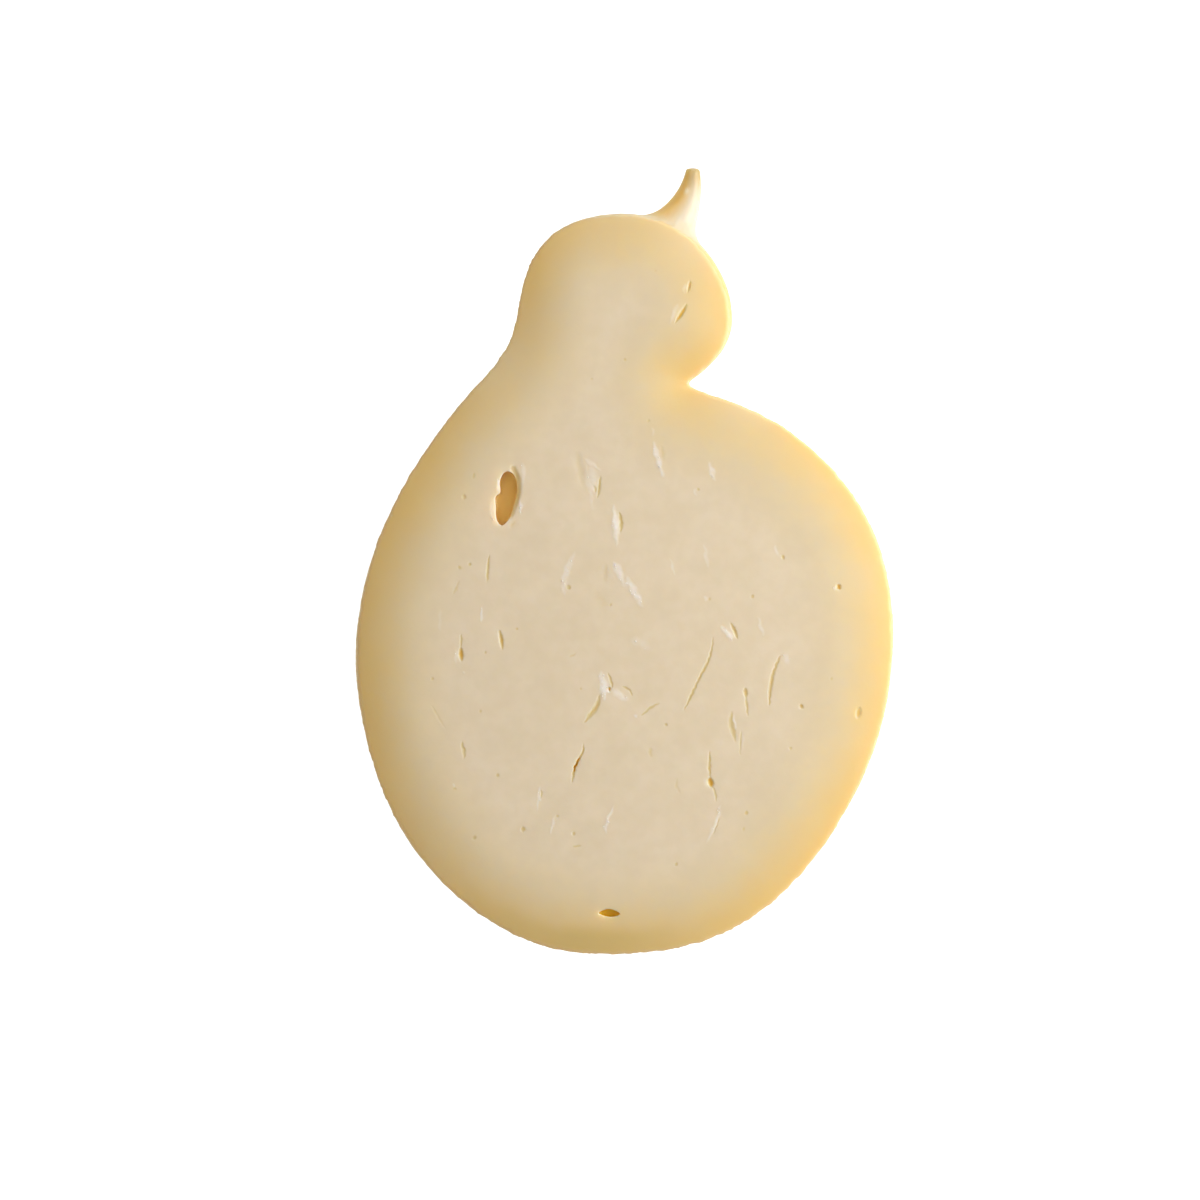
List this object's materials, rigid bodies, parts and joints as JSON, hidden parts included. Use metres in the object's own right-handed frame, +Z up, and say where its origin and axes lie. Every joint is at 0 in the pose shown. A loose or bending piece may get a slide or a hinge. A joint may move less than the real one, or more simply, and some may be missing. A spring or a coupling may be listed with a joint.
{
  "type": "caciocavallo cheese half",
  "caption": "Half of a pear-shaped stretched-curd cheese with a small round head and a pulled tip, cut lengthwise, lying on its rounded back.",
  "frame": {"origin": "middle of the flat spot's plane under the bounding box: the cheese lies on its rounded back with the cut face up", "axes": "+Y from foot to head and pulled tip, +X to the right as the cut face is looked at, +Z up out of the cut face"},
  "size_m": [0.1447, 0.211, 0.0659],
  "materials": {
    "cheese": "satin cream paste on the cut face, darker straw yellow towards a smooth golden rind"
  },
  "bodies": {
    "root": {"caciocavallo_half": "cheese"}
  },
  "joints": []
}
